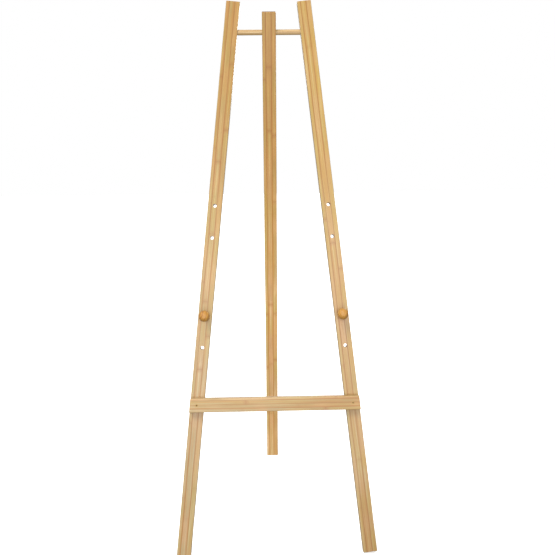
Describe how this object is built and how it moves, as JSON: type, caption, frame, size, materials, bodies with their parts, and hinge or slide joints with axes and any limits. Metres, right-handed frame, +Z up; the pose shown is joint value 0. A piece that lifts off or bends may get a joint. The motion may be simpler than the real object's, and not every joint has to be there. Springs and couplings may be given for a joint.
{
  "type": "display easel",
  "caption": "Folding floor easel of laminated bamboo: splayed front legs, a swinging rear leg on a round dowel, a front rail and plug-in pegs.",
  "frame": {"origin": "on the floor, at the middle of the three feet's footprint", "axes": "+Z up, -Y out of the front where the board stands, +X to the viewer's right; X = 0 is the middle plane through the rear leg"},
  "size_m": [0.5464, 0.6668, 1.4837],
  "materials": {
    "bamboo": "laminated bamboo strips, sanded and lacquered satin",
    "dowel": "pale round rod, sanded and lacquered satin",
    "peg": "turned, honey-coloured, lacquered satin",
    "screw": "dark bronze-coloured plating, slightly worn"
  },
  "bodies": {
    "front_frame": {"left_front_leg": "bamboo", "right_front_leg": "bamboo", "top_dowel": "dowel", "cross_rail": "bamboo", "left_rail_screw": "screw", "right_rail_screw": "screw"},
    "rear_leg": {"rear_leg": "bamboo"},
    "left_peg": {"left_peg": "peg"},
    "right_peg": {"right_peg": "peg"}
  },
  "joints": [
    {"name": "rear_leg_fold", "type": "hinge", "parent": "front_frame", "child": "rear_leg", "pos_m": [0, -0.01347, 1.39828], "axis": [1, 0, 0], "range_deg": [-26, 30]},
    {"name": "left_peg_pull", "type": "slide", "parent": "front_frame", "child": "left_peg", "axis": [0, -0.9763, 0.2164], "range_m": [0, 0.08]},
    {"name": "right_peg_pull", "type": "slide", "parent": "front_frame", "child": "right_peg", "axis": [0, -0.9763, 0.2164], "range_m": [0, 0.08]}
  ]
}
